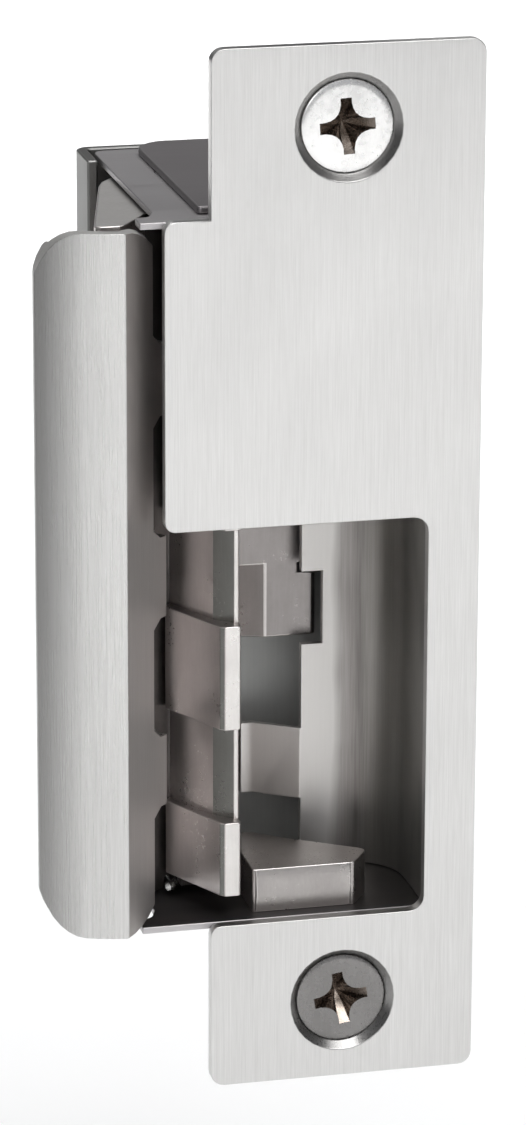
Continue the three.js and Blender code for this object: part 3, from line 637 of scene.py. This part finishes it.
def threads(name, z):
    """A helical ridge on the shank of a fixing screw."""
    pitch, turns, per_turn = 1.06, 11, 28
    root, crest, under_head = 2.15, 2.74, 4.1
    start = PLATE_FRONT + HEAD["sunk"] + under_head
    section = [(root, -0.46), (HEAD["core"], -0.42), (crest, -0.07),
               (crest, 0.07), (HEAD["core"], 0.42), (root, 0.46)]
    bm = bmesh.new()
    rings = []
    for i in range(turns * per_turn + 1):
        a = 2 * math.pi * i / per_turn
        fade = min(1.0, i / per_turn, (turns * per_turn - i) / per_turn)
        ring = []
        for radius, along in section:
            r = root + (radius - root) * (0.15 + 0.85 * fade)
            y = start + pitch * i / per_turn + along
            ring.append(bm.verts.new((r * math.cos(a) * MM, y * MM, (z + r * math.sin(a)) * MM)))
        rings.append(ring)
    for a, b in zip(rings, rings[1:]):
        for k in range(len(section)):
            n = (k + 1) % len(section)
            bm.faces.new((a[k], a[n], b[n], b[k]))
    bm.faces.new(list(reversed(rings[0])))
    bm.faces.new(rings[-1])
    bmesh.ops.recalc_face_normals(bm, faces=bm.faces)
    dress(finish_mesh(bm, name, ROUND_ANGLE), "case", "fixing_screw", "screw")


fixing_screw("upper_fixing", "faceplate_screw_upper", HEAD["fixing"], 4, "screw")
# The lower head takes the painted shade copy of the screw steel.
fixing_screw("lower_fixing", "faceplate_screw_lower", -HEAD["fixing"], 9, "screw_painted_shade")

# ---- springs and winding --------------------------------------------------------------------

DROP = -0.2  # the case group's own middle height, mm
PIVOT = (-13.9, 25.2)  # the keeper's pin in X and Y, mm
# The coil starts at 0 degrees, slopes down to one angle and lies flat to the other. The keeper's leg starts
# with the coil's last stretch, from the hold angle on.
SPRING = {"radius": 3.7, "wire": 0.5, "top": -34.7 + DROP, "bottom": -40.4 + DROP,
          "sloped": -1350, "flat": -1620, "hold": -1545}


def keeper_spring():
    """The torsion spring: coil and fixed leg stay with the case, the other leg goes with the keeper."""
    x, y = PIVOT
    r, top, bottom = SPRING["radius"], SPRING["top"], SPRING["bottom"]
    sloped, flat, per_turn = SPRING["sloped"], SPRING["flat"], 36
    leg = curve_through([(x + r, y + 13.6, top), (x + r, y + 7, top), (x + r, y, top)], 6)[:-1]
    coil = (helix(x, y, r, 0, sloped, top, bottom, per_turn)
            + helix(x, y, r, sloped, flat, bottom, bottom, per_turn)[1:])
    wound = tube("keeper_spring_coil", leg + coil, SPRING["wire"], 12)
    dress(wound, "case", "spring_steel", "spring", "keeper_spring")
    tail = helix(x, y, r, SPRING["hold"], flat, bottom, bottom, per_turn)
    reach = curve_through([(x - r, y, bottom), (x - r, y - 8, bottom), (x - r - 0.1, y - 14.6, bottom),
                           (x - r - 1.0, y - 15.8, bottom)], 6)[1:]
    swung = tube("keeper_spring_leg", tail + reach, SPRING["wire"] * 0.99, 12)
    dress(swung, "keeper", "spring_steel", "spring")


def plunger_spring():
    """The compression spring over the plunger's bore."""
    low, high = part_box("plunger_spring")
    x, y = (low.x + high.x) / 2 / MM, (low.y + high.y) / 2 / MM
    wire, radius, turns = 0.25, 1.6, 7
    z0, z1 = low.z / MM + wire, high.z / MM - wire
    piece = tube("plunger_spring_coil", helix(x, y, radius, 0, 360 * turns, z0, z1, 28), wire, 10)
    dress(piece, "case", "spring_steel", "spring", "plunger_spring")
    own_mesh(piece)


def coil_winding():
    """One layer of enamelled wire, laid turn by turn over a core that is drawn in to make room for it."""
    low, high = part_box("solenoid_coil")
    x, y = (low.x + high.x) / 2 / MM, (low.y + high.y) / 2 / MM
    z0, z1 = low.z / MM, high.z / MM
    wire, gap, covered = 0.21, 0.02, 6.3
    turns = math.floor((z1 - z0 - 2 * wire) / (2 * wire + gap))
    outer = (high.x - low.x) / 2 / MM - wire
    points = helix(x, y, outer, 0, 360 * turns, z0 + wire, z1 - wire, 22)
    dress(tube("solenoid_winding", points, wire, 6), "case", "copper_wire", "copper")
    core = refined("solenoid_coil", 0)
    for vertex in core.data.vertices:
        flat = Vector((vertex.co.x - x * MM, vertex.co.y - y * MM, 0))
        if flat.length > covered * MM:
            vertex.co -= flat.normalized() * wire * MM


keeper_spring()
plunger_spring()
coil_winding()

# ---- every other node -----------------------------------------------------------------------

# How wide the edges are broken, in mm, and the nodes whose sharp or smooth angle isn't the usual one.
DEFAULT_BREAK = 0.06
BREAK = {
    "faceplate": 0.12, "keeper_lip": 0.07, "keeper_core": 0.16, "case_frame": 0.14, "case_cover": 0.26,
    "case_back": 0.26, "pocket_liner": 0.1, "latch_guide_block": 0.14, "lock_lever": 0.18,
    "mechanism_plate": 0.1, "solenoid_frame": 0.16, "rear_connector": 0.12,
}
SHARP = {"lock_lever": 16.0}
SMOOTH = {"keeper_lip": 32.0, "lock_lever": 12.0}
# The sections above have made these already.
MADE = {"faceplate_screw_upper", "faceplate_screw_lower", "keeper_spring", "plunger_spring",
        "solenoid_coil"}
for node in sorted(set(frame["nodes"]) - MADE):
    refined(node, BREAK.get(node, DEFAULT_BREAK), SHARP.get(node, SHARP_ANGLE),
            SMOOTH.get(node, SMOOTH_ANGLE))

# ---- floor, light and camera ------------------------------------------------------------------

FLOOR = {"half": 4.0, "below": 0.06}  # metres; the height is under the part's lowest point
# The room's strength by the Y of the direction: each end is (Y, strength).
ROOM = {"color": (0.96, 0.97, 1.0, 1), "sides": (-0.35, 0.10), "front": (-0.95, 0.55)}
# Each softbox: name, place, target and size in metres, watts, and the spread of its beam in degrees.
SOFTBOXES = [
    ("top", (0.3, -0.88, 1.25), (0.3, -0.88, 0), (1.2, 1.0), 13.5, 110),
    ("backdrop", (0.0, 1.15, 1.4), (0, 1.15, 0), (2.2, 1.2), 18.5, 96),
    ("key", (-0.5, -0.9, 0.5), (0, 0, 0), (0.5, 0.6), 2.0, 180),
]
# The photograph's viewpoint: angles in degrees, the camera's place and lens in mm.
VIEW = {"yaw": -13.502, "pitch": 16.975, "roll": 0.177984, "place": (-137.42, -533.08, 169.08),
        "sensor": 36.0, "lens": 160.0}


def floor():
    """A plain pale sheet under the strike, which hangs as it does on its mount."""
    mesh = bpy.data.meshes.new("floor")
    half, z = FLOOR["half"], cad_low.z - FLOOR["below"]
    corners = [(-half, -half, z), (half, -half, z), (half, half, z), (-half, half, z)]
    mesh.from_pydata(corners, [], [(0, 1, 2, 3)])
    plane = bpy.data.objects.new("floor", mesh)
    scene.collection.objects.link(plane)
    g = Graph("floor_paper")
    shade = g.noise((3, 3, 3), 2.0, 0.5)
    g.put(g.mix(g.ramp(shade, ((0.3, 0.0), (0.7, 1.0))), (0.93, 0.93, 0.93), (0.95, 0.95, 0.95)),
          g.shader.inputs["Base Color"])
    g.shader.inputs["Roughness"].default_value = 0.9
    mesh.materials.append(g.material)


def softbox(name, place, target, size, power, spread):
    """A rectangular lamp at a place in metres that faces its target."""
    data = bpy.data.lights.new(name, "AREA")
    data.shape = "RECTANGLE"
    data.size, data.size_y = size
    data.energy = power
    data.spread = math.radians(spread)
    lamp = bpy.data.objects.new(name, data)
    lamp.location = place
    lamp.rotation_euler = (Vector(target) - Vector(place)).to_track_quat("-Z", "Y").to_euler()
    scene.collection.objects.link(lamp)


def studio():
    """A dim room that is brighter in front, and three softboxes."""
    world = bpy.data.worlds.new("studio")
    world.use_nodes = True
    tree = world.node_tree
    direction = tree.nodes.new("ShaderNodeTexCoord").outputs["Generated"]
    strength = ranged(tree, coordinate(tree, direction, "Y"), (ROOM["sides"], ROOM["front"]))
    background = tree.nodes["Background"]
    background.inputs["Color"].default_value = ROOM["color"]
    tree.links.new(strength, background.inputs["Strength"])
    scene.world = world
    for box in SOFTBOXES:
        softbox(*box)


def camera():
    """The photograph's viewpoint: in front, to the left and above, through a long lens."""
    yaw, pitch, roll = (math.radians(VIEW[angle]) for angle in ("yaw", "pitch", "roll"))
    back = Vector((math.sin(yaw) * math.cos(pitch), -math.cos(yaw) * math.cos(pitch), math.sin(pitch)))
    right = (-back).cross(Vector((0, 0, 1))).normalized()
    up = right.cross(-back)
    turned_right = right * math.cos(roll) + up * math.sin(roll)
    turned_up = up * math.cos(roll) - right * math.sin(roll)
    data = bpy.data.cameras.new("camera")
    data.sensor_width = VIEW["sensor"]
    data.lens = VIEW["lens"]
    data.clip_start = 0.01
    data.clip_end = 50
    view = bpy.data.objects.new("camera", data)
    turn = Matrix((turned_right, turned_up, back)).transposed()
    view.matrix_world = Matrix.Translation(Vector(VIEW["place"]) * MM) @ turn.to_4x4()
    scene.collection.objects.link(view)
    scene.camera = view


floor()
studio()
camera()
scene.view_settings.view_transform = "Standard"
